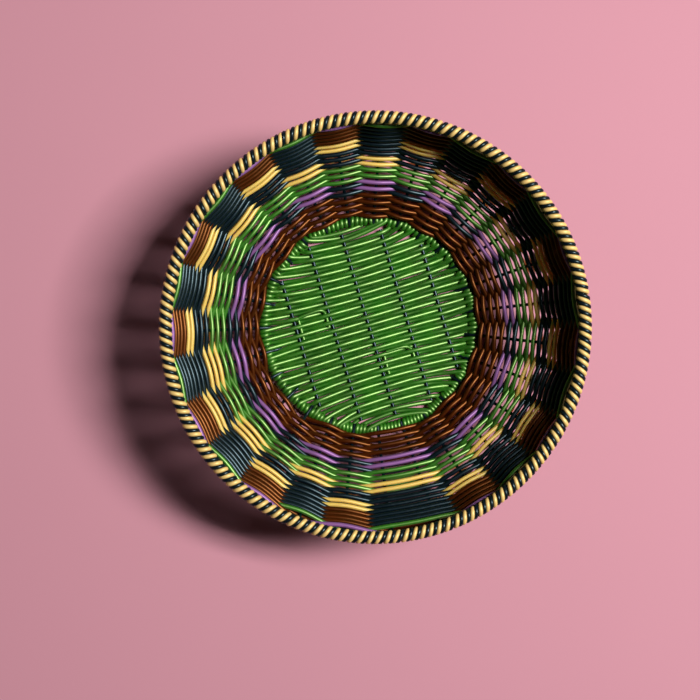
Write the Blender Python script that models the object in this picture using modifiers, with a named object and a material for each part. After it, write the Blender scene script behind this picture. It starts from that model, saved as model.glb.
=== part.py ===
"""Round woven bowl of plastic-coated wire: a plain-woven round base on a hoop, twenty-seven stakes
that rise from the hoop, two weavers that chase each other up the stakes in bands of colour, and a
lashed rim."""

import math

import bmesh
import bpy
import numpy as np
from mathutils import Vector, kdtree

# Driving dimensions, in metres.
WIRE_DIAMETER = 0.0020        # every coated wire of the weave
LAY_CLEARANCE = 0.0003        # between two wires that lie on each other
ROW_CLEARANCE = 0.0003        # between neighbouring rows of the wall
BASE_ROW_CLEARANCE = 0.00045  # between neighbouring rows of the base
WRAP_CLEARANCE = 0.0006       # between neighbouring wraps of the base hoop
BUTT_CLEARANCE = 0.0012       # between the cut ends of two weavers that follow each other
RING_RADIUS = 0.0672          # centre line of the base hoop
RING_DIAMETER = 0.0028        # wire of the base hoop
FOOT_FLAT = 0.0002            # worn off the under side of the hoop's wraps, where the bowl rests
OUTER_STICK_INSET = 0.0212    # from the hoop to the first and to the last stick of the base
FIRST_ROW_INSET = 0.0077      # least from the hoop to the first and to the last row of the base
TURN_INSET = 0.0055           # from the hoop to where a base row begins to turn towards it
STAKE_HEEL = 0.0003           # how far a stake reaches in past the hoop's centre line
WALL_START = 0.0042           # along the wall, from the hoop to the first row
RIM_CORE_DIAMETER = 0.0032    # hoop inside the rim
LASHING_THICKNESS = 0.0021    # wire wound round that hoop
RIM_SLOT_CLEARANCE = 0.0003   # between a stake and the lashing it enters

# Counts and directions.
STAKES = 27
STICKS = 5
FIRST_STAKE_ANGLE = math.radians(21.3)
BASE_ROW_ANGLE = math.radians(15.5)
WALL_TURNS = 18
CAP_LOOPS = 10                # plain wraps at each end of the base, where no row reaches the hoop
STAKE_SEGMENTS = 12
HOOP_SEGMENTS = 54
HOOP_SIDES = 6
SLEEVE_OUTER_POINTS = 8
SLEEVE_INNER_POINTS = 7
WALL_STEPS = 240              # pieces into which the wall's curve is cut to follow its lean

# The wall leans out low down and stands almost upright at the rim: shares of its woven length, and
# degrees.
WALL_LEAN_SHARES = (0.0, 0.2, 0.4, 0.6, 0.8, 1.0)
WALL_LEAN_DEGREES = (44.0, 37.5, 41.0, 53.0, 66.0, 75.5)
# Wraps at the two ends of the base keep to this share of the arc between the first row's ends.
CAP_ARC_SHARE = 0.78

# Derived sizes.
WIRE_RADIUS = WIRE_DIAMETER / 2
RING_WIRE_RADIUS = RING_DIAMETER / 2
LAY = WIRE_DIAMETER + LAY_CLEARANCE
ROW_PITCH = WIRE_DIAMETER + ROW_CLEARANCE
BASE_ROW_PITCH = WIRE_DIAMETER + BASE_ROW_CLEARANCE
WRAP_PITCH = WIRE_DIAMETER + WRAP_CLEARANCE
WRAP_OFFSET = RING_WIRE_RADIUS + LAY_CLEARANCE + WIRE_RADIUS
BASE_LEVEL = WRAP_OFFSET + WIRE_RADIUS - FOOT_FLAT
STICK_REACH = RING_RADIUS - WRAP_OFFSET - LAY
STICK_SPACING = 2 * (RING_RADIUS - OUTER_STICK_INSET) / (STICKS - 1)
RIM_CORE_RADIUS = RIM_CORE_DIAMETER / 2
SLEEVE_INNER = RIM_CORE_RADIUS + LAY_CLEARANCE
SLEEVE_OUTER = SLEEVE_INNER + LASHING_THICKNESS
RIM_DISTANCE = WALL_START + (2 * WALL_TURNS + 1) * ROW_PITCH + WIRE_RADIUS + LAY_CLEARANCE + SLEEVE_OUTER
STAKE_END = RIM_DISTANCE - RIM_CORE_RADIUS - LAY_CLEARANCE
STAKE_STEP = 2 * math.pi / STAKES

# Stakes that the first weaver passes on the inside. The second weaver passes the others on the inside.
# Twenty-seven is odd, so the first weaver passes two neighbouring stakes once in each turn, which keeps
# each colour in its own upright column.
DOUBLE_STAKE = 19


def first_weaver_inside(stake):
    stake %= STAKES
    return stake % 2 == 1 if stake <= DOUBLE_STAKE else stake % 2 == 0


# Each weaver is a chain of wires: name, material, and the stake count, from the first stake of the
# first turn, at which it ends. The ends lie behind a stake.
FIRST_CHAIN_START = 16
FIRST_CHAIN = (
    ("weaver_a1_brown", "brown", 116),
    ("weaver_a2_lilac", "lilac", 170),
    ("weaver_a3_green", "green", 228),
    ("weaver_a4_yellow", "yellow", 286),
    ("weaver_a5_navy", "navy", 475),
    ("weaver_a6_green", "green", 502),
)
SECOND_CHAIN_START = 17
SECOND_CHAIN = (
    ("weaver_b1_brown", "brown", 109),
    ("weaver_b2_navy", "navy", 163),
    ("weaver_b3_green", "green", 244),
    ("weaver_b4_navy", "navy", 309),
    ("weaver_b5_yellow", "yellow", 363),
    ("weaver_b6_brown", "brown", 476),
    ("weaver_b7_lilac", "lilac", 503),
)


def clear_scene():
    for item in list(bpy.data.objects):
        bpy.data.objects.remove(item, do_unlink=True)


def coated_wire(name, colour, roughness):
    material = bpy.data.materials.get(name)
    if material is None:
        material = bpy.data.materials.new(name)
        material.use_nodes = True
        shader = material.node_tree.nodes["Principled BSDF"]
        shader.inputs["Base Color"].default_value = (*colour, 1.0)
        shader.inputs["Roughness"].default_value = roughness
        shader.inputs["Metallic"].default_value = 0.0
        material.diffuse_color = (*colour, 1.0)
    return material


def navy_wire():
    return coated_wire("navy_coated_wire", (0.012, 0.028, 0.045), 0.30)


def green_wire():
    return coated_wire("green_coated_wire", (0.045, 0.200, 0.015), 0.28)


def brown_wire():
    return coated_wire("brown_coated_wire", (0.140, 0.035, 0.008), 0.30)


def lilac_wire():
    return coated_wire("lilac_coated_wire", (0.230, 0.080, 0.270), 0.30)


def yellow_wire():
    return coated_wire("yellow_coated_wire", (0.800, 0.470, 0.120), 0.30)


def lashing_wire():
    return coated_wire("cream_and_navy_lashing", (0.780, 0.550, 0.220), 0.30)


MATERIALS = {
    "navy": navy_wire,
    "green": green_wire,
    "brown": brown_wire,
    "lilac": lilac_wire,
    "yellow": yellow_wire,
}


def wall_curve():
    """Distances along the wall's middle surface, and its radius and height at each."""
    along = np.linspace(0, RIM_DISTANCE, WALL_STEPS + 1)
    middle = (along[:-1] + along[1:]) / 2
    woven = (middle - WALL_START) / (2 * (WALL_TURNS - 1) * ROW_PITCH)
    lean = np.interp(woven, WALL_LEAN_SHARES, WALL_LEAN_DEGREES)
    lean = np.where(middle < WALL_START, lean * middle / WALL_START, lean)
    lean = np.radians(lean)
    step = np.diff(along)
    radius = RING_RADIUS + np.concatenate([[0], np.cumsum(step * np.cos(lean))])
    height = BASE_LEVEL + WRAP_OFFSET + np.concatenate([[0], np.cumsum(step * np.sin(lean))])
    return along, radius, height


WALL_ALONG, WALL_RADIUS, WALL_HEIGHT = wall_curve()


def wall_point(distance, inward):
    """Radius and height of a point this far along the wall, moved off its middle surface to the inside."""
    radius = np.interp(distance, WALL_ALONG, WALL_RADIUS)
    height = np.interp(distance, WALL_ALONG, WALL_HEIGHT)
    span = (WALL_ALONG[-1] - WALL_ALONG[0]) / WALL_STEPS
    ahead = min(distance + span, WALL_ALONG[-1])
    behind = max(ahead - 2 * span, WALL_ALONG[0])
    run = np.interp(ahead, WALL_ALONG, WALL_RADIUS) - np.interp(behind, WALL_ALONG, WALL_RADIUS)
    rise = np.interp(ahead, WALL_ALONG, WALL_HEIGHT) - np.interp(behind, WALL_ALONG, WALL_HEIGHT)
    slant = math.hypot(run, rise)
    return radius - inward * rise / slant, height + inward * run / slant


def stake_angle(count):
    return FIRST_STAKE_ANGLE + count * STAKE_STEP


def around(radius, angle, height):
    return Vector((radius * math.cos(angle), radius * math.sin(angle), height))


def wire_object(name, points, collection, material, radius=WIRE_RADIUS):
    """A wire along these points, as a curve with a four-sided section and filled ends."""
    curve = bpy.data.curves.new(name, "CURVE")
    curve.dimensions = "3D"
    curve.twist_mode = "MINIMUM"
    curve.bevel_depth = radius
    curve.bevel_resolution = 0
    curve.use_fill_caps = True
    spline = curve.splines.new("POLY")
    spline.points.add(len(points) - 1)
    for place, point in zip(spline.points, points):
        place.co = (*point, 1.0)
    wire = bpy.data.objects.new(name, curve)
    wire.data.materials.append(material)
    collection.objects.link(wire)
    return wire


def meshed(wire, collection):
    """The wire as a mesh object of the same name, its end caps welded on."""
    graph = bpy.context.evaluated_depsgraph_get()
    mesh = bpy.data.meshes.new_from_object(wire.evaluated_get(graph))
    name, place = wire.name, wire.matrix_world.copy()
    bpy.data.objects.remove(wire, do_unlink=True)
    mesh.name = name
    solid = bpy.data.objects.new(name, mesh)
    solid.matrix_world = place
    collection.objects.link(solid)
    shape = bmesh.new()
    shape.from_mesh(mesh)
    bmesh.ops.remove_doubles(shape, verts=shape.verts, dist=LAY_CLEARANCE / 100)
    shape.to_mesh(mesh)
    shape.free()
    return solid


def hoop(name, radius, wire_radius, height, collection, material):
    bpy.ops.mesh.primitive_torus_add(
        major_segments=HOOP_SEGMENTS,
        minor_segments=HOOP_SIDES,
        major_radius=radius,
        minor_radius=wire_radius,
        location=(0, 0, height),
    )
    made = bpy.context.object
    made.name = name
    made.data.name = name
    made.data.materials.append(material)
    for other in made.users_collection:
        other.objects.unlink(made)
    collection.objects.link(made)
    made.data.shade_smooth()
    return made


def build_base_ring(collection):
    return hoop("base_ring", RING_RADIUS, RING_WIRE_RADIUS, BASE_LEVEL, collection, navy_wire())


def stick_offset(number):
    return (number - (STICKS - 1) / 2) * STICK_SPACING


def turned(across, along, height):
    """A point of the base, from its place across the sticks and along them, turned to lie as the rows do."""
    cosine, sine = math.cos(BASE_ROW_ANGLE), math.sin(BASE_ROW_ANGLE)
    return Vector((across * cosine - along * sine, across * sine + along * cosine, height))


def build_base_sticks(collection):
    for number in range(STICKS):
        across = stick_offset(number)
        reach = math.sqrt(STICK_REACH**2 - across**2)
        ends = [turned(across, side * reach, BASE_LEVEL) for side in (-1, 1)]
        wire_object(f"base_stick_{number + 1}", ends, collection, navy_wire())


def base_rows():
    """Places of the base rows along the sticks, as many as fit between the first and the last."""
    farthest = RING_RADIUS - FIRST_ROW_INSET
    count = 2 * int(farthest / BASE_ROW_PITCH)
    return [(number - (count - 1) / 2) * BASE_ROW_PITCH for number in range(count)]


def clear_of_stakes(angles):
    """Each angle moved as little as keeps its wrap clear of the stakes and of the wraps beside it."""
    clear = LAY / RING_RADIUS
    apart = WRAP_PITCH / (RING_RADIUS - WRAP_OFFSET)
    past_first = [(angle - FIRST_STAKE_ANGLE) % (2 * math.pi) for angle in angles]
    gaps = {}
    for place in sorted(range(len(angles)), key=lambda place: past_first[place]):
        gaps.setdefault(math.floor(past_first[place] / STAKE_STEP), []).append(place)
    placed = [0.0] * len(angles)
    for gap, members in gaps.items():
        least = clear
        for place in members:
            past_first[place] = max(past_first[place] - gap * STAKE_STEP, least)
            least = past_first[place] + apart
        most = STAKE_STEP - clear
        for place in reversed(members):
            past_first[place] = min(past_first[place], most)
            most = past_first[place] - apart
            placed[place] = stake_angle(gap) + past_first[place]
    return placed


def wrap_angles(rows):
    """Angles, round the hoop, of the turn after each row but the last, and of the loops at both ends."""
    inner = RING_RADIUS - WRAP_OFFSET
    turns = []
    for number in range(len(rows) - 1):
        height_angle = math.asin((rows[number] + rows[number + 1]) / 2 / inner)
        left = number % 2 == 0
        turns.append(BASE_ROW_ANGLE + (math.pi - height_angle if left else height_angle))
    half_arc = math.acos(rows[-1] / inner) * CAP_ARC_SHARE
    loops = [
        BASE_ROW_ANGLE + math.pi / 2 - half_arc * (1 - (2 * number + 1) / CAP_LOOPS)
        for number in range(CAP_LOOPS)
    ]
    opposite = [angle - math.pi for angle in loops]
    placed = clear_of_stakes(turns + loops + opposite)
    first, second = len(turns), len(turns) + len(loops)
    return placed[:first], placed[first:second], placed[second:]


def cap_loops(angles):
    """Turns round the hoop: over it at one angle, then under it on the way to the next."""
    near, far = RING_RADIUS - WRAP_OFFSET, RING_RADIUS + WRAP_OFFSET
    over, under = BASE_LEVEL + WRAP_OFFSET, BASE_LEVEL - WRAP_OFFSET
    beyond = 2 * angles[-1] - angles[-2]
    points = []
    for angle, following in zip(angles, angles[1:] + [beyond]):
        middle = (angle + following) / 2
        points += [around(near, angle, over), around(far, angle, over)]
        points += [around(far, middle, under), around(near, middle, under)]
    return points


def stick_side(row, number):
    """Above or below: the side of a stick on which a row passes."""
    return 1 if (row + number) % 2 == 0 else -1


def row_reach(along):
    return math.sqrt((RING_RADIUS - TURN_INSET) ** 2 - along**2)


def crossed_sticks(along):
    """Sticks that a row crosses, left to right."""
    reach = row_reach(along) + WIRE_RADIUS
    return [number for number in range(STICKS) if abs(stick_offset(number)) < reach]


def outermost_stick(along, right):
    sticks = crossed_sticks(along)
    return sticks[-1] if right else sticks[0]


def turn_side(rows, number):
    """The side, above or below the hoop, on which a row arrives at its turn."""
    right = number % 2 == 1
    stick = outermost_stick(rows[number], right)
    room = min(row_reach(rows[number]), row_reach(rows[number + 1])) - abs(stick_offset(stick))
    side = stick_side(number, stick)
    return side if abs(room) < 2 * LAY else -side


def row_middle(rows, number, left_to_right):
    """A row's crossings over and under the sticks."""
    reach = row_reach(rows[number])
    points = []
    for stick in crossed_sticks(rows[number]):
        across = stick_offset(stick)
        if abs(across) < reach - WIRE_RADIUS:
            points.append(turned(across, rows[number], BASE_LEVEL + stick_side(number, stick) * LAY))
    return points if left_to_right else points[::-1]


def row_end(along, right, side, angle):
    """From where a row leaves the weave, across the hoop, to the hoop's outer side."""
    height = BASE_LEVEL + side * WRAP_OFFSET
    across = row_reach(along) if right else -row_reach(along)
    return [turned(across, along, height),
            around(RING_RADIUS - WRAP_OFFSET, angle, height),
            around(RING_RADIUS + WRAP_OFFSET, angle, height)]


def base_weaver_points():
    """One wire: loops round the hoop, then every row to and fro over and under the sticks, then loops."""
    rows = base_rows()
    turns, last_loops, first_loops = wrap_angles(rows)
    points = cap_loops(first_loops)
    last = len(rows) - 1
    for number, along in enumerate(rows):
        rightwards = number % 2 == 1
        if number == 0:
            points += row_end(along, True, -1, first_loops[-1])[:1]
        else:
            side = -turn_side(rows, number - 1)
            points += row_end(along, not rightwards, side, turns[number - 1])[::-1]
        points += row_middle(rows, number, rightwards)
        if number == last:
            points += row_end(along, rightwards, 1, last_loops[0])[:1]
        else:
            points += row_end(along, rightwards, turn_side(rows, number), turns[number])
    return points + cap_loops(last_loops)


def least_gap(points, diameter):
    """Least distance, in millimetres, between two stretches of a wire that aren't neighbours along it."""
    samples, lengths = [], []
    travelled = 0.0
    for start, end in zip(points, points[1:]):
        span = (end - start).length
        pieces = max(1, math.ceil(span / (diameter / 4)))
        for piece in range(pieces):
            samples.append(start.lerp(end, piece / pieces))
            lengths.append(travelled + span * piece / pieces)
        travelled += span
    tree = kdtree.KDTree(len(samples))
    for index, sample in enumerate(samples):
        tree.insert(sample, index)
    tree.balance()
    least = math.inf
    for index, sample in enumerate(samples):
        for _, other, distance in tree.find_range(sample, 3 * diameter):
            if abs(lengths[other] - lengths[index]) > 3 * diameter:
                least = min(least, distance - diameter)
    return least * 1000


def flatten_foot(solid):
    """Cuts the wire flat where it would reach below the ground, and closes the cuts."""
    shape = bmesh.new()
    shape.from_mesh(solid.data)
    bmesh.ops.bisect_plane(
        shape,
        geom=shape.verts[:] + shape.edges[:] + shape.faces[:],
        plane_co=(0, 0, 0),
        plane_no=(0, 0, -1),
        clear_outer=True,
    )
    open_edges = [edge for edge in shape.edges if edge.is_boundary]
    bmesh.ops.holes_fill(shape, edges=open_edges, sides=0)
    bmesh.ops.recalc_face_normals(shape, faces=shape.faces)
    shape.to_mesh(solid.data)
    shape.free()


def build_base_weaver(collection):
    points = base_weaver_points()
    print(f"base weaver: least gap to itself {least_gap(points, WIRE_DIAMETER):.2f} mm")
    wire = wire_object("base_weaver", points, collection, green_wire())
    bpy.context.view_layer.update()
    flatten_foot(meshed(wire, collection))


def build_stakes(collection):
    heel = (RING_RADIUS - STAKE_HEEL, BASE_LEVEL + WRAP_OFFSET)
    bends = np.linspace(WALL_START, STAKE_END, STAKE_SEGMENTS)
    profile = [heel] + [wall_point(distance, 0) for distance in bends]
    for number in range(STAKES):
        points = [around(radius, stake_angle(number), height) for radius, height in profile]
        wire_object(f"stake_{number + 1:02d}", points, collection, navy_wire())


def weave_point(count, level, inside):
    """A weaver's place at a stake: this many rows up the wall, on the inside or the outside."""
    distance = WALL_START + level * ROW_PITCH
    radius, height = wall_point(distance, LAY if inside else -LAY)
    return around(radius, stake_angle(count), height)


def chain_points(start, end, rows_up, inside):
    """Points of one wire from a stake to another, with half a butt clearance off each end."""
    points = []
    for count in range(start, end + 1):
        level = rows_up + 2 * (count - FIRST_CHAIN_START) / STAKES
        points.append(weave_point(count, level, inside(count)))
    half = BUTT_CLEARANCE / 2
    points[0] += (points[1] - points[0]).normalized() * half
    points[-1] += (points[-2] - points[-1]).normalized() * half
    return points


def build_chain(chain, start, rows_up, inside, collection):
    for name, colour, end in chain:
        points = chain_points(start, end, rows_up, inside)
        wire_object(name, points, collection, MATERIALS[colour]())
        print(f"{name}: least gap to itself {least_gap(points, WIRE_DIAMETER):.2f} mm")
        start = end


def build_wall_weavers(collection):
    build_chain(FIRST_CHAIN, FIRST_CHAIN_START, 0, first_weaver_inside, collection)
    build_chain(SECOND_CHAIN, SECOND_CHAIN_START, 1, lambda count: not first_weaver_inside(count), collection)


def rim_centre():
    return wall_point(RIM_DISTANCE, 0)


def build_rim_core(collection):
    radius, height = rim_centre()
    return hoop("rim_core", radius, RIM_CORE_RADIUS, height, collection, navy_wire())


def sleeve_profile():
    """Section of the lashing: a ring round the core, slotted below where the stakes come in."""
    radius, height = rim_centre()
    near_radius, near_height = wall_point(STAKE_END, 0)
    down = math.atan2(near_height - height, near_radius - radius)
    half_slot = WIRE_RADIUS + RIM_SLOT_CLEARANCE
    points = []
    outer = (SLEEVE_OUTER, SLEEVE_OUTER_POINTS, 1)
    inner = (SLEEVE_INNER, SLEEVE_INNER_POINTS, -1)
    for reach, count, turn in (outer, inner):
        edge = math.asin(half_slot / reach)
        for number in range(count):
            share = number / (count - 1)
            angle = down + turn * (edge + share * (2 * math.pi - 2 * edge))
            points.append((radius + reach * math.cos(angle), 0, height + reach * math.sin(angle)))
    return points


def build_rim_lashing(collection):
    points = sleeve_profile()
    mesh = bpy.data.meshes.new("rim_lashing")
    edges = [(number, (number + 1) % len(points)) for number in range(len(points))]
    mesh.from_pydata(points, edges, [])
    sleeve = bpy.data.objects.new("rim_lashing", mesh)
    collection.objects.link(sleeve)
    screw = sleeve.modifiers.new("Turn", "SCREW")
    screw.axis = "Z"
    screw.angle = 2 * math.pi
    screw.steps = HOOP_SEGMENTS
    screw.render_steps = HOOP_SEGMENTS
    screw.use_merge_vertices = True
    screw.merge_threshold = LAY_CLEARANCE / 10
    screw.use_smooth_shade = True
    screw.use_normal_calculate = True
    mesh.materials.append(lashing_wire())


def main():
    clear_scene()
    collection = bpy.data.collections.new("woven_wire_bowl")
    bpy.context.scene.collection.children.link(collection)
    build_base_ring(collection)
    build_base_sticks(collection)
    build_base_weaver(collection)
    build_stakes(collection)
    build_wall_weavers(collection)
    build_rim_core(collection)
    build_rim_lashing(collection)
    radius, height = rim_centre()
    across, high = 2000 * (radius + SLEEVE_OUTER), 1000 * (height + SLEEVE_OUTER)
    print(f"rim: {across:.1f} mm across, {high:.1f} mm high")


main()
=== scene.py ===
"""Looks of a round bowl woven from glossy plastic-coated wire: a green woven base on a hoop, dark stakes,
two weavers that climb them in columns of colour, and a rim lashed with cream and navy wire."""

import itertools
import math

import bpy
import numpy as np
from bpy.props import FloatProperty, FloatVectorProperty, PointerProperty
from mathutils import Matrix, Vector


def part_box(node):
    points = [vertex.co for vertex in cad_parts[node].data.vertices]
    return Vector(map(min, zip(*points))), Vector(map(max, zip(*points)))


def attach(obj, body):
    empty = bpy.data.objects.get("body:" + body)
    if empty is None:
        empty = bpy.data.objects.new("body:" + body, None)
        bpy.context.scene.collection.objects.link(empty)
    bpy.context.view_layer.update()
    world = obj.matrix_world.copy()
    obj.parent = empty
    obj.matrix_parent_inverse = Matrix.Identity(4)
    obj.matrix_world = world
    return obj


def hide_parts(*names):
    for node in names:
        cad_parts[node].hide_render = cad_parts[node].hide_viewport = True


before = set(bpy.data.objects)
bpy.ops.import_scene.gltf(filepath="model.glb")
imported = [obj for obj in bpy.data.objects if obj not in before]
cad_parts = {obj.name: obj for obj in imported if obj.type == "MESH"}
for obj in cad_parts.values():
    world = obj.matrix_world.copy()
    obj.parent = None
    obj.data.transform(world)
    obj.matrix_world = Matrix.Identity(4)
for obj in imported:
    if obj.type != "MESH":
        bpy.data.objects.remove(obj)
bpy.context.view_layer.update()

bl_info = {
    "name": "Woven Wire Bowl",
    "version": (1, 0, 0),
    "blender": (4, 5, 0),
    "location": "View3D > Sidebar > Woven Bowl",
    "description": "Weaves a round bowl of plastic-coated wire over a plain frame model",
    "category": "Add Mesh",
}

# Driving dimensions, in metres, which the frame model has too.
RING_DIAMETER = 0.0028        # wire of the base hoop
RIM_CORE_DIAMETER = 0.0032    # hoop inside the rim
WALL_START = 0.0042           # along the wall, from the hoop to the first row
ROW_PITCH = 0.0023            # between neighbouring rows of the wall
LAY = 0.0023                  # from a stake's centre line to a weaver's, where it passes
STAKE_SEAT = 0.0013           # from the hoop's surface to the centre line of a stake that lies on it
BUTT_CLEARANCE = 0.0012       # between the cut ends of two weavers that follow each other
TURN_INSET = 0.0055           # from the hoop to where a base row begins to turn towards it

# The wall leans out low down and stands almost upright at the rim: shares of its woven length, and
# degrees.
WALL_LEAN_SHARES = (0.0, 0.2, 0.4, 0.6, 0.8, 1.0)
WALL_LEAN_DEGREES = (44.0, 37.5, 41.0, 53.0, 66.0, 75.5)

# Counts and directions. The number of stakes is odd, so once in each turn a weaver passes two neighbours
# on the same side: the double stake, counted from 0, and the next one.
STAKES = 27
STAKE_STEP = 2 * math.pi / STAKES
FIRST_STAKE_ANGLE = math.radians(21.3)
DOUBLE_STAKE = 19
WALL_TURNS = 18
BASE_ROW_ANGLE = math.radians(15.5)

# Read from the frame: the two hoops, and the levels of the base's sticks and of the stakes' feet.
RING_LOW, RING_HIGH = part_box("base_ring")
RIM_LOW, RIM_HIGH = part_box("rim_core")
RING_RADIUS = RING_HIGH.x - RING_DIAMETER / 2
RIM_RADIUS = RIM_HIGH.x - RIM_CORE_DIAMETER / 2
RIM_LEVEL = (RIM_LOW.z + RIM_HIGH.z) / 2
BASE_LEVEL = (RING_LOW.z + RING_HIGH.z) / 2
STAKE_OFFSET = RING_DIAMETER / 2 + STAKE_SEAT
STAKE_FOOT_LEVEL = BASE_LEVEL + STAKE_OFFSET

# The base weave, as wide and as uneven as the hand left it.
BASE_ROWS = 49
FIRST_BASE_ROW = -0.0610      # place of the first row along the sticks
LAST_BASE_ROW = 0.0616
BASE_PITCH = (LAST_BASE_ROW - FIRST_BASE_ROW) / (BASE_ROWS - 1)
ROW_FAN_SHARE = 0.135         # how much farther apart the rows lie at the hoop than in the middle
BASE_LAY = 0.0021             # from a stick's centre line to a row's, where it passes
STICK_PLACES = (-0.0455, -0.0226, -0.0003, 0.0243, 0.0466)
STICK_LEAN = math.radians(-1.3)    # how far the sticks are off square to the rows
END_BEND = 0.007              # how gently a row's end bends to meet the hoop

# The green wraps round the base hoop. Near the first row they lie closer together.
WRAP_SEAT = 0.00115           # from the hoop's surface to a wrap's centre line, pressed on a little
WRAP_REACH = RING_DIAMETER / 2 + WRAP_SEAT
STAKE_ROOM = 0.0020           # from a stake to the nearest wrap
WRAPS_PER_GAP = 5
WRAPS_PER_CLOSE_GAP = 6
CLOSE_ARC = math.radians(50)  # how far the closer wraps reach to either side

# Where a new length of the green wire joins in: its end lies along a row and turns down beside a stick,
# and the old end is tucked in beside the stick before. Places across the sticks and along them, and
# heights over the sticks' level.
JOIN_RUNS = (
    ((-0.0429, 0.0170, 0.0006), (-0.0429, 0.0097, 0.0006), (-0.0429, 0.0024, 0.0006)),
    ((-0.0424, 0.0166, 0.0026), (-0.0345, 0.0176, 0.0030), (-0.0278, 0.0176, 0.0026),
     (-0.0254, 0.0150, 0.0012), (-0.0252, 0.0105, 0.0006), (-0.0251, 0.0058, 0.0006)),
    ((0.0039, -0.0205, 0.0006), (0.0039, -0.0270, 0.0006), (0.0039, -0.0334, 0.0006)),
    ((0.0058, -0.0193, 0.0026), (0.0128, -0.0190, 0.0030), (0.0185, -0.0193, 0.0026),
     (0.0215, -0.0215, 0.0012), (0.0223, -0.0245, 0.0006), (0.0225, -0.0270, 0.0006)),
)
JOIN_WIRE = 0.0021            # drawn thinner than the weave, so that it fits in between its rows

# How the hand sets the stakes and packs the rows of the wall.
STAKE_HEEL = 0.0016           # how far a stake reaches in past the hoop's centre line
# The foot's tucked length is painted shade: dark wire laid in the gaps at the rows' ends, where there is only
# shade.
STAKE_TUCK_AS_SHADE = 0.0075           # how far its foot is tucked in between the rows beyond that, at their ends
FIRST_ROWS_DROP = 0.0008      # how much closer to the hoop the first row is pressed
DROP_ROWS = 3.0               # rows over which that fades
TURN_PRESS = 0.0054           # how far the end of the first turn is pressed down beside its start
PRESS_STAKES = 3              # stakes over which the very end of the turn comes up again
PRESS_ROWS = 5.5              # rows over which the press fades
TOP_GAP = 0.0053              # from the rim hoop's centre line to the top row's, which is pushed up to it
LIFT_ROWS = 7.0               # rows over which that push fades
STEP_STAKES = 4               # stakes over which the rows step down past the second weaver's end

# Each weaver is a chain of wires: piece, colour and the stake count at which it ends. The second weaver
# lies one row above the first.
FIRST_CHAIN_START = 16
FIRST_CHAIN = (
    ("a1", "brown", 116),
    ("a2", "lilac", 170),
    ("a3", "green", 228),
    ("a4", "yellow", 286),
    ("a5", "navy", 475),
    ("a6", "green", 502),
)
SECOND_CHAIN_START = 17
SECOND_CHAIN = (
    ("b1", "brown", 109),
    ("b2", "navy", 163),
    ("b3", "green", 244),
    ("b4", "navy", 310),
    ("b5", "yellow", 364),
    ("b6", "brown", 476),
    ("b7", "lilac", 503),
)
CHAINS = ((FIRST_CHAIN_START, FIRST_CHAIN), (SECOND_CHAIN_START, SECOND_CHAIN))
CHAIN_END = SECOND_CHAIN[-1][2]    # just below the rim
DARK_COLOURS = ("brown", "navy")
TOP_WIRES = ("a5", "b6")      # the close-packed wires below the rim

# The lashing, two wires wound side by side round the rim hoop.
LASHING_TURNS = 148           # of each wire
LASHING_REACH = 0.0024        # from the rim hoop's surface to the outer face of the lashing
LASHING_SLANT = 0.7           # how much more a turn slants over the rim than it would if wound evenly

# How finely the wires are cut. A bevel resolution of 3 gives a wire ten sides, and 2 gives it eight.
STEPS_PER_CROSSING = 8        # from one stake or stick to the next
STEPS_PER_WRAP = 12
STEPS_PER_ROW_END = 10
HOOP_STEPS = 4                # of a hoop, from one stake to the next
STICK_POINTS = 12
STAKE_POINTS = 40
FOOT_POINTS = 5
WALL_STEPS = 240
END_ROUNDS = 20               # tries in which the place of a row's end on the hoop settles
FINE_BEVEL = 3
COARSE_BEVEL = 2
MERGE_SHARE = 1 / 200         # of a wire's thickness, within which points become one
SMOOTH_ANGLE = math.radians(60)

# Unevenness that the hand leaves: how far the rows wander off their places, in metres, and the lashing,
# in turns.
BASE_UNEVENNESS = 0.00016
WALL_UNEVENNESS = 0.00010
LASHING_UNEVENNESS = 0.06
BASE_WANDER_PLACES = 9        # along each row of the base
WALL_WANDER_COUNTS = 600      # more than the stakes that a weaver passes
HAND = np.random.default_rng(11)
BASE_WANDER = HAND.normal(0, BASE_UNEVENNESS, (BASE_ROWS, BASE_WANDER_PLACES))
WALL_WANDER = HAND.normal(0, WALL_UNEVENNESS, (2, WALL_WANDER_COUNTS))
LASHING_WANDER = HAND.normal(0, LASHING_UNEVENNESS, LASHING_TURNS)

# Finish of each coating: its darkest tone as a share of its colour, its roughness, the tint of its
# highlights, and how much light it lets in. Only the yellow one lets in enough to show.
COATING_FINISH = {
    "navy": (0.7, 0.33, "#5E6E72", 0),
    "green": (0.6, 0.44, "#CCEE98", 0),
    "brown": (0.55, 0.38, "#A0683C", 0),
    "lilac": (0.8, 0.44, "#AA82AC", 0),
    "yellow": (0.95, 0.46, "#B8B08C", 0.6),
    "cream": (0.97, 0.46, "#B8B488", 0),
}

# Patterns in the coatings, in metres, and the part of each noise that shows.
TONE_PATCH = 0.012            # slow drift of the colour along a wire
TONE_RANGE = (0.35, 0.65)     # from the darkest tone to the full colour
SCUFF_GRAIN = 0.0030          # dull spots from handling, drawn coarser than real so that they show
SCUFF_RANGE = (0.5, 0.75)     # from the plain gloss to the dullest spot
SCUFF_DULLING = 0.1           # roughness that the dullest spot adds
RIPPLE = 0.0040               # unevenness that the extruder leaves, drawn coarser than real
RIPPLE_DEPTH = 0.0002
RIPPLE_STRENGTH = 0.10

# Light on and in the coatings.
GLOSS_INDEX = 2.2             # of refraction, higher than that of plastic, for stronger highlights
GLOSS_LEVEL = 1.0             # twice the usual
GLOW_REACH = 0.003            # how far light spreads inside a coating that lets it in, in metres
GLOW_SPREAD = (1.0, 0.80, 0.40)    # red, green and blue shares of that, so that the glow is warm

# The floor, in metres.
FLOOR_RADIUS = 4.0
FLOOR_SIDES = 128
FLOOR_CLOUD = 1 / 6           # size of the clouds in its tone
FLOOR_DARKER_SHARE = 0.97     # how dark they get
FLOOR_ROUGHNESS = 0.9

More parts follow.
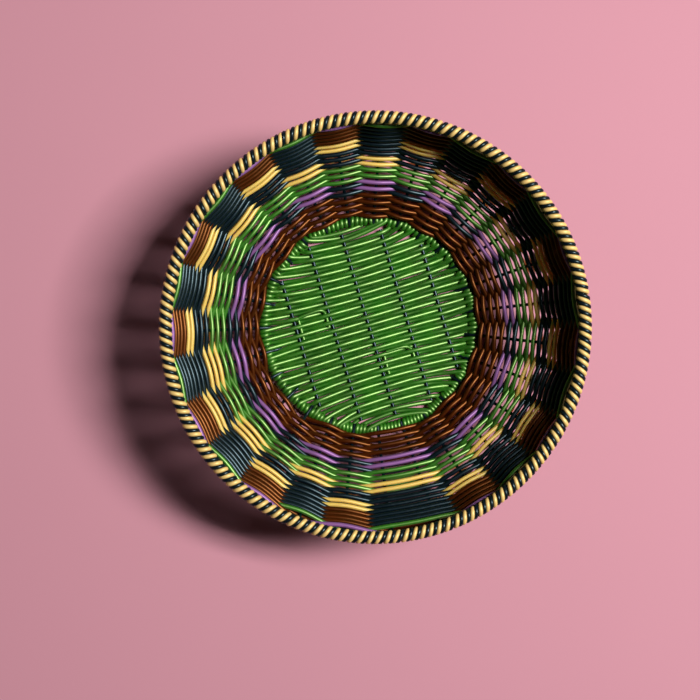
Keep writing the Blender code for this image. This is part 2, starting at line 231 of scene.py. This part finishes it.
# Lamp, sky and camera, in metres.
KEY_WAY = (0.504, 0.164, 0.848)             # towards the lamp
KEY_DISTANCE = 2.0
KEY_SIZE = (0.85, 0.32)
KEY_LENGTHWAYS = (-0.940, 0.342, 0.0)       # the way that its longer side lies
SKY_STRENGTH = 0.008
CAMERA_PLACE = (-0.0442, 0.0224, 0.693)     # from the middle of the rim
CAMERA_TARGET = (-0.0156, -0.0121, 0.0)
PICTURE_UP = (0, 1, 0)
FOCAL_PIXELS = 1200
PICTURE_PIXELS = 700          # the picture's width
SENSOR_WIDTH = 36.0           # in millimetres


def linear(code):
    """A colour written as sRGB hex, as linear red, green and blue."""
    shares = [int(code[place:place + 2], 16) / 255 for place in (1, 3, 5)]
    return tuple(s / 12.92 if s <= 0.04045 else ((s + 0.055) / 1.055) ** 2.4 for s in shares)


def colour_setting(name, description, code):
    return FloatVectorProperty(name=name, description=description, subtype="COLOR", size=3,
                               min=0, max=1, default=linear(code))


def thickness_setting(name, description, default):
    return FloatProperty(name=name, description=description, subtype="DISTANCE", unit="LENGTH",
                         min=0.0005, max=0.01, precision=5, default=default)


class BowlSizes(bpy.types.PropertyGroup):
    """Sizes of the wires"""
    base_wire: thickness_setting("Base wire", "Thickness of the green wire of the base", 0.0028)
    wall_wire: thickness_setting("Wall wire", "Thickness of the paler wires of the wall", 0.0026)
    dark_wire: thickness_setting("Dark wire", "Thickness of the brown and navy wires of the wall", 0.0028)
    top_wire: thickness_setting("Top wire", "Thickness of the close-packed wires below the rim", 0.0029)
    stake_wire: thickness_setting("Stake wire", "Thickness of the stakes and of the base sticks", 0.0020)
    cream_lashing: thickness_setting("Cream lashing", "Thickness of the cream wire round the rim", 0.0026)
    navy_lashing: thickness_setting("Navy lashing", "Thickness of the navy wire round the rim", 0.0023)


class BowlColours(bpy.types.PropertyGroup):
    """Colours of the coatings"""
    navy: colour_setting("Navy", "Coating of the navy wires", "#06151D")
    green: colour_setting("Green", "Coating of the green wires", "#0E7004")
    brown: colour_setting("Brown", "Coating of the brown wires", "#421601")
    lilac: colour_setting("Lilac", "Coating of the lilac wires", "#8E5E98")
    yellow: colour_setting("Yellow", "Coating of the yellow wires", "#FFCC66")
    cream: colour_setting("Cream", "Coating of the cream lashing", "#FFD480")


class BowlStage(bpy.types.PropertyGroup):
    """Floor and lamp"""
    floor: colour_setting("Floor", "Colour of the floor", "#D896A4")
    key_power: FloatProperty(name="Key power", description="Power of the lamp", unit="POWER",
                             min=0, max=500, default=48)


def clear_selection():
    if bpy.context.mode != "OBJECT":
        bpy.ops.object.mode_set(mode="OBJECT")
    bpy.ops.object.select_all(action="DESELECT")


def add_node(tree, kind, settings=None, links=None, **facts):
    """A node of this kind, with values for its sockets, links into them and its own properties."""
    node = tree.nodes.new(kind)
    for name, value in facts.items():
        setattr(node, name, value)
    for socket, value in (settings or {}).items():
        node.inputs[socket].default_value = value
    for socket, source in (links or {}).items():
        tree.links.new(source, node.inputs[socket])
    return node


def new_material(name):
    material = bpy.data.materials.new(name)
    material.use_nodes = True
    return material, material.node_tree, material.node_tree.nodes["Principled BSDF"]


def noise(tree, place, grain, detail):
    """Noise with grains of this size, in the piece's own coordinates."""
    texture = add_node(tree, "ShaderNodeTexNoise", {"Scale": 1 / grain, "Detail": detail},
                       {"Vector": place.outputs["Object"]})
    return texture.outputs["Fac"]


def spread(tree, value, limits, low, high):
    """The value, spread from low at its first limit to high at its second."""
    mapped = add_node(tree, "ShaderNodeMapRange",
                      {"From Min": limits[0], "From Max": limits[1], "To Min": low, "To Max": high},
                      {"Value": value})
    return mapped.outputs["Result"]


def shade_base(tree, shader, colour, darker_share, tone):
    """Lets the base colour follow the tone, from a darker share of the colour to the full colour."""
    blend = add_node(tree, "ShaderNodeMix",
                     {"A": (*[part * darker_share for part in colour], 1), "B": (*colour, 1)},
                     {"Factor": tone}, data_type="RGBA")
    tree.links.new(blend.outputs["Result"], shader.inputs["Base Color"])


def coated_wire(name, colour, darker_share, roughness, tint, depth):
    """Steel wire in a plastic coating. The coating is extruded, so it is smooth and glossy, with a highlight
    along each wire, a slight ripple, slow drifts of tone and a few dull scuffs. The highlights are drawn
    stronger and broader than real, so that each wire stands out from its neighbours. A pale coating may let
    some light in, so that it glows warm on its shaded side."""
    material, tree, shader = new_material(name)
    place = add_node(tree, "ShaderNodeTexCoord")
    patches = noise(tree, place, TONE_PATCH, 2.0)
    scuffs = noise(tree, place, SCUFF_GRAIN, 3.0)
    ripple = noise(tree, place, RIPPLE, 1.0)
    shade_base(tree, shader, colour, darker_share, spread(tree, patches, TONE_RANGE, 0, 1))
    dullness = spread(tree, scuffs, SCUFF_RANGE, roughness, roughness + SCUFF_DULLING)
    tree.links.new(dullness, shader.inputs["Roughness"])
    bump = add_node(tree, "ShaderNodeBump", {"Strength": RIPPLE_STRENGTH, "Distance": RIPPLE_DEPTH},
                    {"Height": ripple})
    tree.links.new(bump.outputs["Normal"], shader.inputs["Normal"])
    shader.inputs["IOR"].default_value = GLOSS_INDEX
    shader.inputs["Specular IOR Level"].default_value = GLOSS_LEVEL
    shader.inputs["Specular Tint"].default_value = (*linear(tint), 1)
    shader.inputs["Subsurface Weight"].default_value = depth
    shader.inputs["Subsurface Radius"].default_value = GLOW_SPREAD
    shader.inputs["Subsurface Scale"].default_value = GLOW_REACH
    return material


def wire_material(colour):
    """The material of a coating, made when it is first asked for."""
    name = f"{colour}_coated_wire"
    made = bpy.data.materials.get(name)
    if made is None:
        made = coated_wire(name, getattr(bpy.context.scene.bowl_colours, colour), *COATING_FINISH[colour])
    return made


def wire_piece(name, runs, diameter, colour, bevel=FINE_BEVEL, closed=False):
    """A piece of round wire along each of the runs, as one mesh with its place in its vertices."""
    clear_selection()
    bpy.ops.object.add(type="CURVE", location=(0, 0, 0))
    curve = bpy.context.object.data
    curve.dimensions = "3D"
    curve.twist_mode = "MINIMUM"
    curve.bevel_depth = diameter / 2
    curve.bevel_resolution = bevel
    curve.use_fill_caps = not closed
    for run in runs:
        spline = curve.splines.new("POLY")
        spline.points.add(len(run) - 1)
        spline.points.foreach_set("co", np.column_stack([run, np.ones(len(run))]).ravel())
        spline.use_cyclic_u = closed
        spline.use_smooth = True
    curve.materials.append(wire_material(colour))
    bpy.ops.object.convert(target="MESH")
    made = bpy.context.object
    made.name = name
    made.data.name = name
    bpy.ops.object.mode_set(mode="EDIT")
    bpy.ops.mesh.select_all(action="SELECT")
    bpy.ops.mesh.remove_doubles(threshold=diameter * MERGE_SHARE)
    bpy.ops.object.mode_set(mode="OBJECT")
    bpy.ops.object.shade_smooth_by_angle(angle=SMOOTH_ANGLE)
    return made


def take_place(piece, slot, *nodes):
    """The piece rides with the bowl and stands for these nodes. The slot is not used."""
    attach(piece, "root")
    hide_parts(*nodes)


def smooth_path(knots, steps):
    """A smooth line through all the knots but the first and the last, in this many steps to a span."""
    knots = np.array(knots)
    before, start, end, after = (knots[place:len(knots) - 3 + place, None, :] for place in range(4))
    share = (np.arange(steps) / steps)[None, :, None]
    points = start + 0.5 * share * (
        end - before + share * (
            2 * before - 5 * start + 4 * end - after + share * (3 * (start - end) + after - before)
        )
    )
    return np.concatenate([points.reshape(-1, 3), knots[-2:-1]])


def bend(start, start_way, end, end_way, steps):
    """Points of a smooth line from start, along start_way, to end, along end_way, both ends left out."""
    start, start_way, end, end_way = (np.array(item) for item in (start, start_way, end, end_way))
    share = (np.arange(1, steps) / steps)[:, None]
    square, cube = share**2, share**3
    points = ((2 * cube - 3 * square + 1) * start + (cube - 2 * square + share) * start_way
              + (3 * square - 2 * cube) * end + (cube - square) * end_way)
    return [tuple(point) for point in points]


def around(radius, angle, height):
    return (radius * math.cos(angle), radius * math.sin(angle), height)


def stake_angle(count):
    return FIRST_STAKE_ANGLE + count * STAKE_STEP


class BOWL_OT_hoops(bpy.types.Operator):
    """Make the hoop of the base and the hoop inside the rim"""
    bl_idname = "woven_bowl.hoops"
    bl_label = "Hoops"

    def execute(self, context):
        angles = np.linspace(0, 2 * math.pi, HOOP_STEPS * STAKES, endpoint=False)
        for name, node, radius, level, thickness in (
            ("base_hoop", "base_ring", RING_RADIUS, BASE_LEVEL, RING_DIAMETER),
            ("rim_hoop", "rim_core", RIM_RADIUS, RIM_LEVEL, RIM_CORE_DIAMETER),
        ):
            run = [around(radius, angle, level) for angle in angles]
            hoop = wire_piece(name, [run], thickness, "navy", closed=True)
            take_place(hoop, "navy_wire", node)
        return {"FINISHED"}


def turned(points):
    """Points of the base, from their place across the sticks and along them, turned to lie as the rows do."""
    cosine, sine = math.cos(BASE_ROW_ANGLE), math.sin(BASE_ROW_ANGLE)
    across, along, height = np.array(points).T
    return np.column_stack([across * cosine - along * sine, across * sine + along * cosine, height])


def stick_across(stick, along):
    """Where a stick lies across the rows, this far along it."""
    return STICK_PLACES[stick] + along * math.tan(STICK_LEAN)


class BOWL_OT_sticks(bpy.types.Operator):
    """Lay the five sticks of the base"""
    bl_idname = "woven_bowl.sticks"
    bl_label = "Base sticks"

    def execute(self, context):
        reach = RING_RADIUS - STAKE_OFFSET - LAY
        diameter = context.scene.bowl_sizes.stake_wire
        for stick, place in enumerate(STICK_PLACES):
            far = math.sqrt(reach**2 - place**2)
            points = [(stick_across(stick, along), along, BASE_LEVEL)
                      for along in np.linspace(-far, far, STICK_POINTS)]
            made = wire_piece(f"base_stick_wire_{stick + 1}", [turned(points)], diameter, "navy")
            take_place(made, "navy_wire", f"base_stick_{stick + 1}")
        return {"FINISHED"}


def row_along(row, across):
    """Place of a row along the sticks, where it is this far across them: the rows fan out to the hoop."""
    middle = FIRST_BASE_ROW + row * BASE_PITCH
    share = across / RING_RADIUS
    wander = np.interp(share, np.linspace(-1, 1, BASE_WANDER_PLACES), BASE_WANDER[row])
    return float(middle * (1 + ROW_FAN_SHARE * share**2) + wander)


def row_reach(row):
    """How far across the sticks a row runs before it bends to the hoop."""
    inner = RING_RADIUS - TURN_INSET
    along = row_along(row, RING_RADIUS / 3)
    return math.sqrt(max(inner**2 - along**2, 0))


def crossed_sticks(row):
    """The sticks within a row's reach, which are the middle one at least."""
    reach = max(row_reach(row), BASE_PITCH)
    return [stick for stick, place in enumerate(STICK_PLACES) if abs(place) <= reach]


def stick_side(row, stick):
    """The side of a stick on which a row passes: 1 above it and -1 below it."""
    return 1 if (row + stick) % 2 == 0 else -1


def end_side(row, right):
    """The side of the hoop on which a row ends: it changes sides after its last stick, unless that stands
    too near the hoop."""
    stick = crossed_sticks(row)[-1 if right else 0]
    side = stick_side(row, stick)
    room = row_reach(row) - abs(STICK_PLACES[stick])
    return side if room < LAY else -side


def row_middle(row):
    """A row's way over and under the sticks, from left to right."""
    crossings = [(stick_across(stick, row_along(row, STICK_PLACES[stick])), stick_side(row, stick))
                 for stick in crossed_sticks(row)]
    places = []
    for (start, side), (end, next_side) in zip(crossings, crossings[1:]):
        for step in range(STEPS_PER_CROSSING):
            share = step / STEPS_PER_CROSSING
            blend = (1 - math.cos(math.pi * share)) / 2
            places.append((start + (end - start) * share, side + (next_side - side) * blend))
    places.append(crossings[-1])
    return [(across, row_along(row, across), BASE_LEVEL + BASE_LAY * side) for across, side in places]


def row_end(row, right, hoop_end):
    """From the row's last crossing to the hoop."""
    middle = row_middle(row)
    start = middle[-1] if right else middle[0]
    length = math.dist(start, hoop_end)
    way = 1 if right else -1
    slope = (row_along(row, start[0] + way * BASE_PITCH) - start[1]) / BASE_PITCH
    along = np.array([way, slope, 0]) / math.hypot(1, slope)
    out = np.array([hoop_end[0], hoop_end[1], 0]) / math.hypot(hoop_end[0], hoop_end[1])
    arrival = out + along
    arrival *= min(length, END_BEND) / np.linalg.norm(arrival)
    return bend(start, along * length, hoop_end, arrival, STEPS_PER_ROW_END)


def row_end_angle(row, right):
    """Angle at the hoop of a row's end, from the direction of the rows."""
    inner = RING_RADIUS - WRAP_REACH
    across = 0.0
    for _ in range(END_ROUNDS):
        along = row_along(row, across)
        across = math.sqrt(max(inner**2 - along**2, 0))
    angle = math.atan2(along, across)
    return angle if right else math.pi - angle


def spread_wraps():
    """Angles of the wraps in each gap between two stakes, and which of them take a row's end: pairs of
    (angle, row end), where a row end is (row, right) or None."""
    ends = {(row, right): row_end_angle(row, right) for row in range(BASE_ROWS) for right in (False, True)}
    clear = STAKE_ROOM / RING_RADIUS
    wraps = []
    for gap in range(STAKES):
        start = stake_angle(gap) - BASE_ROW_ANGLE
        past = {end: (angle - start) % (2 * math.pi) for end, angle in ends.items()}
        inside = sorted((end for end in past if past[end] < STAKE_STEP), key=past.get)
        off_first_row = math.remainder(start + STAKE_STEP / 2 + math.pi / 2, 2 * math.pi)
        usual = WRAPS_PER_CLOSE_GAP if abs(off_first_row) < CLOSE_ARC else WRAPS_PER_GAP
        count = max(usual, len(inside))
        places = clear + np.arange(count) * (STAKE_STEP - 2 * clear) / (count - 1)
        nearest = min(itertools.combinations(range(count), len(inside)),
                      key=lambda chosen: sum(abs(places[one] - past[end])
                                             for one, end in zip(chosen, inside)))
        taken = dict(zip(nearest, inside))
        wraps += [(start + places[one], taken.get(one)) for one in range(count)]
    return wraps


def share_wraps():
    """Angles of the wraps of each turn, by the row that comes before it, and of the caps beyond the last
    row and the first, all in the order in which the wire makes them. Even rows run to the left and odd rows
    to the right, so the turns on the right follow odd rows."""
    wraps = spread_wraps()
    first = next(place for place, (_, end) in enumerate(wraps) if end == (0, True))
    onward = wraps[first + 1:] + [(angle + 2 * math.pi, end) for angle, end in wraps[:first]]
    turns, top, bottom = {}, [], []
    passed = (0, True)
    for angle, end in onward:
        passed = end or passed
        row, right = passed
        if row == BASE_ROWS - 1 and (end is None or not right):
            top.insert(0, angle)
        elif right:
            turns.setdefault(max(row - 1 + row % 2, 1), []).append(angle)
        elif row == 0 and end is None:
            bottom.append(angle)
        else:
            turns.setdefault(row - row % 2, []).insert(0, angle)
    bottom.append(wraps[first][0] + 2 * math.pi)
    return turns, top, bottom


def hoop_point(angle, turn):
    """Centre line of a wrap: the angle round the hoop, and the turn round its section, 90 degrees on top.
    It stays high enough for the wire to lie on the floor."""
    reach = RING_RADIUS + WRAP_REACH * math.cos(turn)
    height = BASE_LEVEL + WRAP_REACH * math.sin(turn)
    return around(reach, angle, max(height, bpy.context.scene.bowl_sizes.base_wire / 2))


def wrap_run(angles, side):
    """Wraps the hoop once at each angle, arriving above the hoop or below it and leaving on the other side."""
    turns = np.arange(len(angles) * STEPS_PER_WRAP - STEPS_PER_WRAP // 2 + 1) / STEPS_PER_WRAP
    if side < 0:
        turns = turns - 0.5
    places = np.interp(turns, np.arange(len(angles)), angles)
    return [hoop_point(place, math.pi / 2 - side * 2 * math.pi * turn)
            for place, turn in zip(places, turns)]


def base_weave_run():
    """One wire: wraps of the hoop, then every row to and fro with wraps at each turn, then wraps again."""
    turns, top, bottom = share_wraps()
    points = wrap_run(bottom, -end_side(0, True))
    for row in range(BASE_ROWS):
        leftwards = row % 2 == 0
        middle = row_middle(row)
        points += row_end(row, leftwards, points[-1])[::-1]
        points += middle[::-1] if leftwards else middle
        wraps = wrap_run(turns.get(row, top), end_side(row, not leftwards))
        points += row_end(row, not leftwards, wraps[0])
        points += wraps
    return turned(points)


def join_run(places):
    """The wire's end at a join, smooth through these places."""
    first, last = np.array(places[:2]), np.array(places[-2:])
    knots = [2 * first[0] - first[1], *places, 2 * last[1] - last[0]]
    run = turned(smooth_path(knots, STEPS_PER_CROSSING))
    run[:, 2] += BASE_LEVEL
    return run


class BOWL_OT_base_weave(bpy.types.Operator):
    """Weave the green base to and fro over the sticks and round the hoop"""
    bl_idname = "woven_bowl.base_weave"
    bl_label = "Base weave"

    def execute(self, context):
        made = wire_piece("base_weave", [base_weave_run()], context.scene.bowl_sizes.base_wire, "green")
        take_place(made, "green_wire", "base_weaver")
        joins = wire_piece("base_joins", [join_run(places) for places in JOIN_RUNS], JOIN_WIRE, "green")
        take_place(joins, "green_wire", "base_weaver")
        return {"FINISHED"}


def wall_curve():
    """Distances along the wall's middle surface and on past the rim, and its radius and height at each."""
    along = np.linspace(0, 2 * (RIM_RADIUS - RING_RADIUS), 2 * WALL_STEPS + 1)
    middle = (along[:-1] + along[1:]) / 2
    woven = (middle - WALL_START) / (2 * (WALL_TURNS - 1) * ROW_PITCH)
    lean = np.interp(woven, WALL_LEAN_SHARES, WALL_LEAN_DEGREES)
    lean = np.radians(np.where(middle < WALL_START, lean * middle / WALL_START, lean))
    step = np.diff(along)
    radius = RING_RADIUS + np.concatenate([[0], np.cumsum(step * np.cos(lean))])
    height = STAKE_FOOT_LEVEL + np.concatenate([[0], np.cumsum(step * np.sin(lean))])
    return along, radius, height


WALL_ALONG, WALL_RADIUS, WALL_HEIGHT = wall_curve()
RIM_DISTANCE = float(np.interp(RIM_LEVEL, WALL_HEIGHT, WALL_ALONG))


def wall_place(distance):
    """Radius and height of the wall's middle surface, this far along it."""
    return np.array([np.interp(distance, WALL_ALONG, measure) for measure in (WALL_RADIUS, WALL_HEIGHT)])


def wall_point(distance, inward):
    """Radius and height of a point this far along the wall, moved off its middle surface to the inside."""
    span = WALL_ALONG[1]
    radius, height = wall_place(distance)
    run, rise = wall_place(distance + span) - wall_place(distance - span)
    slant = math.hypot(run, rise)
    return radius - inward * rise / slant, height + inward * run / slant


class BOWL_OT_stakes(bpy.types.Operator):
    """Set the stakes, from the base hoop up to the rim"""
    bl_idname = "woven_bowl.stakes"
    bl_label = "Stakes"

    def execute(self, context):
        end = RIM_DISTANCE - RIM_CORE_DIAMETER / 2
        heel = RING_RADIUS - STAKE_HEEL
        wall = [wall_point(distance, 0) for distance in np.linspace(0, end, STAKE_POINTS)[1:]]
        diameter = context.scene.bowl_sizes.stake_wire
        for stake in range(STAKES):
            angle = stake_angle(stake)
            # The tuck is longest at the rows' ends. There it is dark wire that stands in for painted shade in
            # the gaps.
            shade_tuck = STAKE_TUCK_AS_SHADE * math.cos(angle - BASE_ROW_ANGLE) ** 2
            foot = [(heel - shade_tuck * share, BASE_LEVEL + STAKE_OFFSET * (1 - share) ** 2)
                    for share in np.linspace(1, 0, FOOT_POINTS)]
            run = [around(radius, angle, height) for radius, height in foot + wall]
            made = wire_piece(f"stake_wire_{stake + 1:02d}", [run], diameter, "navy", COARSE_BEVEL)
            take_place(made, "navy_wire", f"stake_{stake + 1:02d}")
        return {"FINISHED"}


def passes_inside(count, rows_up):
    """Whether the weaver that lies this many rows up passes this stake on the inside of the wall."""
    stake = count % STAKES
    first_inside = stake % 2 == 1 if stake <= DOUBLE_STAKE else stake % 2 == 0
    return first_inside == (rows_up == 0)


def row_level(count, rows_up):
    """How many rows up a weaver lies at a stake count: it climbs two rows in each turn."""
    return rows_up + 2 * (count - FIRST_CHAIN_START) / STAKES


# What evenly spaced rows would leave free along the wall below the rim, beyond the top row's gap.
TOP_ROOM = RIM_DISTANCE - TOP_GAP - WALL_START - row_level(CHAIN_END, 1) * ROW_PITCH


def rim_lift(count, rows_up):
    """How far a row is pushed up along the wall, so that the top row lies against the rim all round. Past
    the second weaver's end the top row is that of the turn before, with two rows' more room above it, which
    shrinks as the row climbs to that end."""
    step = np.interp((count - CHAIN_END) % STAKES, (0, STEP_STAKES, STAKES), (0, 1, 0))
    rows_below = 2 * max((CHAIN_END - count) // STAKES, 0) + 1 - rows_up
    return (TOP_ROOM + 2 * ROW_PITCH * step) * math.exp(-rows_below / LIFT_ROWS)


def row_distance(count, rows_up):
    """How far along the wall a weaver lies at a stake count, packed as the hand packs it."""
    level = row_level(count, rows_up)
    turn_share = np.interp((count - FIRST_CHAIN_START) % STAKES,
                           (0, STAKES - PRESS_STAKES, STAKES), (0, 1, 0))
    distance = WALL_START + level * ROW_PITCH + WALL_WANDER[rows_up, count]
    distance -= FIRST_ROWS_DROP * math.exp(-level / DROP_ROWS)
    distance -= TURN_PRESS * turn_share * math.exp(-level / PRESS_ROWS)
    return distance + rim_lift(count, rows_up)


def weaver_run(start, end, rows_up):
    """One wire from a stake to another, with half a butt clearance off each end."""
    knots = []
    for count in range(start - 1, end + 2):
        inward = LAY if passes_inside(count, rows_up) else -LAY
        radius, height = wall_point(row_distance(count, rows_up), inward)
        knots.append(around(radius, stake_angle(count), height))
    run = smooth_path(knots, STEPS_PER_CROSSING)
    for last, neighbour in ((0, 1), (-1, -2)):
        way = run[neighbour] - run[last]
        run[last] += way / np.linalg.norm(way) * BUTT_CLEARANCE / 2
    return run


def weaver_diameter(name, colour):
    sizes = bpy.context.scene.bowl_sizes
    if name in TOP_WIRES:
        return sizes.top_wire
    return sizes.dark_wire if colour in DARK_COLOURS else sizes.wall_wire


class BOWL_OT_weavers(bpy.types.Operator):
    """Weave the coloured wires of the wall"""
    bl_idname = "woven_bowl.weavers"
    bl_label = "Wall weavers"

    def execute(self, context):
        for rows_up, (start, chain) in enumerate(CHAINS):
            for name, colour, end in chain:
                run = weaver_run(start, end, rows_up)
                made = wire_piece(f"weave_{name}_{colour}", [run], weaver_diameter(name, colour), colour)
                take_place(made, f"{colour}_wire", f"weaver_{name}_{colour}")
                start = end
        return {"FINISHED"}


def lashing_run(diameter, phase):
    """A wire wound round the rim hoop, leaning one way all round."""
    reach = RIM_CORE_DIAMETER / 2 + LASHING_REACH - diameter / 2
    points = []
    for number in range(LASHING_TURNS * STEPS_PER_WRAP):
        turns = number / STEPS_PER_WRAP
        section = 2 * math.pi * turns
        wander = np.interp(turns, range(LASHING_TURNS), LASHING_WANDER, period=LASHING_TURNS)
        angle = 2 * math.pi * (turns + phase + wander) / LASHING_TURNS
        angle -= LASHING_SLANT / LASHING_TURNS * math.cos(section)
        radius = RIM_RADIUS + reach * math.cos(section)
        points.append(around(radius, angle, RIM_LEVEL + reach * math.sin(section)))
    return points


class BOWL_OT_lashing(bpy.types.Operator):
    """Lash the rim with a cream and a navy wire, turn by turn"""
    bl_idname = "woven_bowl.lashing"
    bl_label = "Rim lashing"

    def execute(self, context):
        sizes = context.scene.bowl_sizes
        for colour, slot, diameter, phase in (
            ("cream", "lashing_wire", sizes.cream_lashing, 0.0),
            ("navy", "navy_wire", sizes.navy_lashing, 0.5),
        ):
            run = lashing_run(diameter, phase)
            made = wire_piece(f"lashing_{colour}", [run], diameter, colour, COARSE_BEVEL, closed=True)
            take_place(made, slot, "rim_lashing")
        return {"FINISHED"}


def floor_material(colour):
    """Smooth painted board, matt and even, so that only the bowl's shadow shows on it."""
    material, tree, shader = new_material("painted_floor")
    place = add_node(tree, "ShaderNodeTexCoord")
    shade_base(tree, shader, colour, FLOOR_DARKER_SHARE, noise(tree, place, FLOOR_CLOUD, 3.0))
    shader.inputs["Roughness"].default_value = FLOOR_ROUGHNESS
    return material


def facing(back, right):
    """Rotation of a lamp or a camera that looks away from back, its right side as near to right as can be."""
    back = back.normalized()
    right = (right - back * right.dot(back)).normalized()
    return Matrix((right, back.cross(right), back)).transposed().to_euler()


def add_floor(colour):
    clear_selection()
    bpy.ops.mesh.primitive_circle_add(vertices=FLOOR_SIDES, radius=FLOOR_RADIUS, fill_type="NGON",
                                      location=(0, 0, 0))
    floor = bpy.context.object
    floor.name = "floor"
    floor.data.materials.append(floor_material(colour))


def add_key_lamp(power):
    """A soft box that faces the bowl."""
    way = Vector(KEY_WAY).normalized()
    bpy.ops.object.light_add(type="AREA", location=way * KEY_DISTANCE)
    lamp = bpy.context.object
    lamp.name = "key_lamp"
    lamp.data.shape = "RECTANGLE"
    lamp.data.size, lamp.data.size_y = KEY_SIZE
    lamp.data.energy = power
    lamp.rotation_euler = facing(way, Vector(KEY_LENGTHWAYS))


def add_sky():
    """A faint even light from all round."""
    world = bpy.data.worlds.new("studio")
    world.use_nodes = True
    background = world.node_tree.nodes["Background"]
    background.inputs["Color"].default_value = (1, 1, 1, 1)
    background.inputs["Strength"].default_value = SKY_STRENGTH
    bpy.context.scene.world = world


def add_camera():
    """A camera almost straight above the bowl."""
    bpy.ops.object.camera_add(location=Vector((0, 0, RIM_LEVEL)) + Vector(CAMERA_PLACE))
    camera = bpy.context.object
    back = Vector(CAMERA_PLACE) - Vector(CAMERA_TARGET)
    camera.rotation_euler = facing(back, Vector(PICTURE_UP).cross(back))
    camera.data.sensor_width = SENSOR_WIDTH
    camera.data.lens = SENSOR_WIDTH * FOCAL_PIXELS / PICTURE_PIXELS
    bpy.context.scene.camera = camera


class BOWL_OT_stage(bpy.types.Operator):
    """Set the floor, the lamp, the sky and the camera"""
    bl_idname = "woven_bowl.stage"
    bl_label = "Stage"

    def execute(self, context):
        stage = context.scene.bowl_stage
        add_floor(stage.floor)
        add_key_lamp(stage.key_power)
        add_sky()
        add_camera()
        context.scene.view_settings.view_transform = "Standard"
        return {"FINISHED"}


class BOWL_PT_panel(bpy.types.Panel):
    bl_idname = "BOWL_PT_panel"
    bl_label = "Woven Bowl"
    bl_space_type = "VIEW_3D"
    bl_region_type = "UI"
    bl_category = "Woven Bowl"

    def draw(self, context):
        layout = self.layout
        for group in (context.scene.bowl_sizes, context.scene.bowl_colours, context.scene.bowl_stage):
            for name in group.__annotations__:
                layout.prop(group, name)
        for operator in OPERATORS:
            layout.operator(operator.bl_idname)


GROUPS = (BowlSizes, BowlColours, BowlStage)
OPERATORS = (BOWL_OT_hoops, BOWL_OT_sticks, BOWL_OT_base_weave, BOWL_OT_stakes, BOWL_OT_weavers,
             BOWL_OT_lashing, BOWL_OT_stage)
CLASSES = GROUPS + OPERATORS + (BOWL_PT_panel,)


def register():
    for item in CLASSES:
        bpy.utils.register_class(item)
    bpy.types.Scene.bowl_sizes = PointerProperty(type=BowlSizes)
    bpy.types.Scene.bowl_colours = PointerProperty(type=BowlColours)
    bpy.types.Scene.bowl_stage = PointerProperty(type=BowlStage)


def unregister():
    del bpy.types.Scene.bowl_sizes
    del bpy.types.Scene.bowl_colours
    del bpy.types.Scene.bowl_stage
    for item in reversed(CLASSES):
        bpy.utils.unregister_class(item)


def main():
    register()
    bpy.ops.woven_bowl.hoops()
    bpy.ops.woven_bowl.sticks()
    bpy.ops.woven_bowl.base_weave()
    bpy.ops.woven_bowl.stakes()
    bpy.ops.woven_bowl.weavers()
    bpy.ops.woven_bowl.lashing()
    bpy.ops.woven_bowl.stage()


if __name__ == "__main__":
    main()
